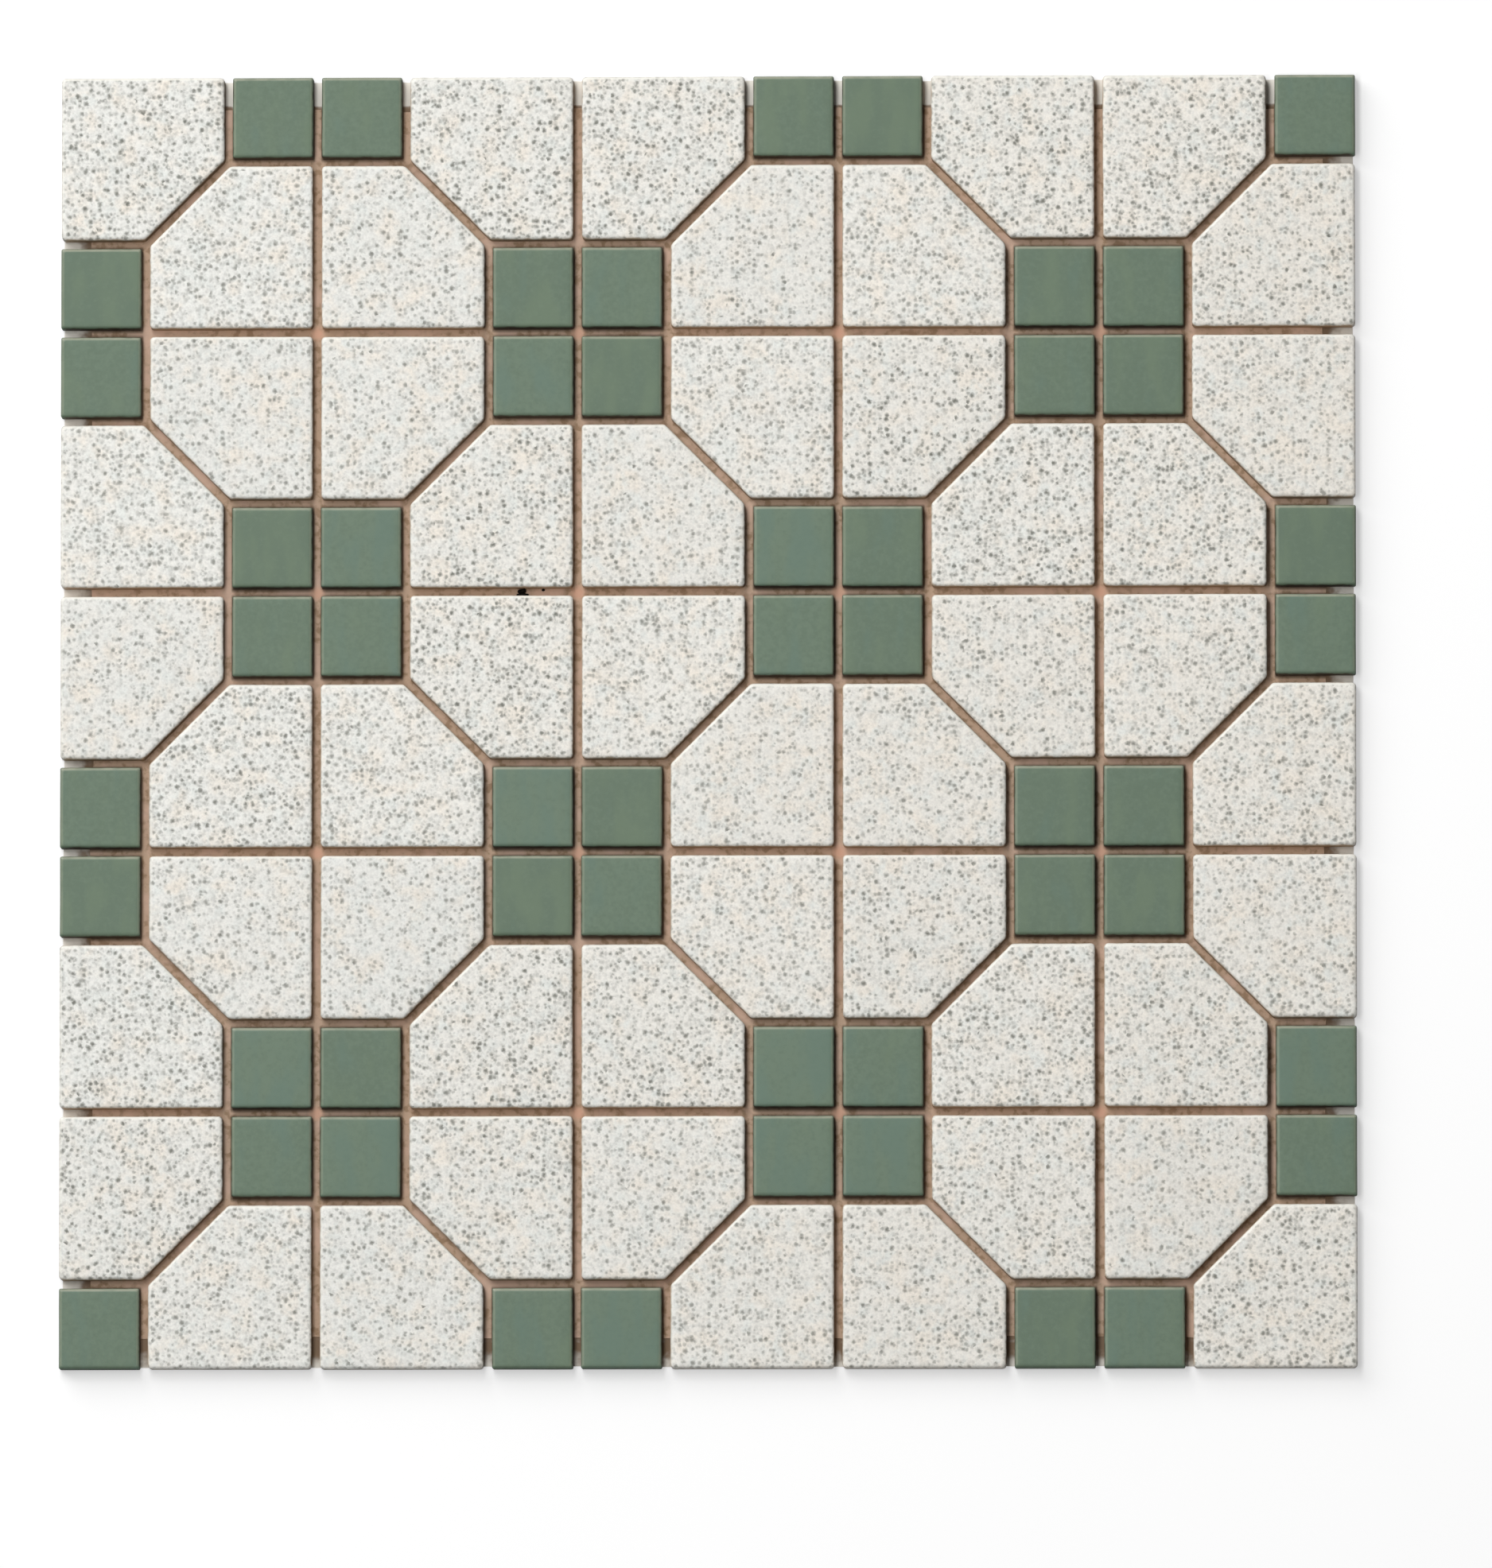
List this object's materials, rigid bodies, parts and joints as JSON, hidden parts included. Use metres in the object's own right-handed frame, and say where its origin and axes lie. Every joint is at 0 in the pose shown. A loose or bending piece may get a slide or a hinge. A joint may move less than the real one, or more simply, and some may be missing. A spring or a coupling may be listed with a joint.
{
  "type": "octagon mosaic tile sheet",
  "caption": "Square mosaic sheet of speckled octagons, each in four quarter tiles, with green square dots between them, glued to a paper backing with open joints for grout.",
  "frame": {"origin": "middle of the paper backing's underside, where the sheet lies on the floor", "axes": "+Z out of the tiles' face, +X to the right and +Y to the top edge of the sheet, as seen from its face with a speckled corner at the top left"},
  "size_m": [0.3056, 0.3056, 0.0053],
  "materials": {
    "speckled_porcelain": "unglazed, matt off-white with fine grey-green specks",
    "green_porcelain": "unglazed, matt sage green, even body colour",
    "kraft_paper": "matt brown kraft paper"
  },
  "bodies": {
    "root": {"octagon_a1": "speckled_porcelain", "dots_a2": "green_porcelain", "octagon_a3": "speckled_porcelain", "dots_a4": "green_porcelain", "octagon_a5": "speckled_porcelain", "dots_a6": "green_porcelain", "dots_b1": "green_porcelain", "octagon_b2": "speckled_porcelain", "dots_b3": "green_porcelain", "octagon_b4": "speckled_porcelain", "dots_b5": "green_porcelain", "octagon_b6": "speckled_porcelain", "octagon_c1": "speckled_porcelain", "dots_c2": "green_porcelain", "octagon_c3": "speckled_porcelain", "dots_c4": "green_porcelain", "octagon_c5": "speckled_porcelain", "dots_c6": "green_porcelain", "dots_d1": "green_porcelain", "octagon_d2": "speckled_porcelain", "dots_d3": "green_porcelain", "octagon_d4": "speckled_porcelain", "dots_d5": "green_porcelain", "octagon_d6": "speckled_porcelain", "octagon_e1": "speckled_porcelain", "dots_e2": "green_porcelain", "octagon_e3": "speckled_porcelain", "dots_e4": "green_porcelain", "octagon_e5": "speckled_porcelain", "dots_e6": "green_porcelain", "dots_f1": "green_porcelain", "octagon_f2": "speckled_porcelain", "dots_f3": "green_porcelain", "octagon_f4": "speckled_porcelain", "dots_f5": "green_porcelain", "octagon_f6": "speckled_porcelain", "paper_backing": "kraft_paper"}
  },
  "joints": []
}
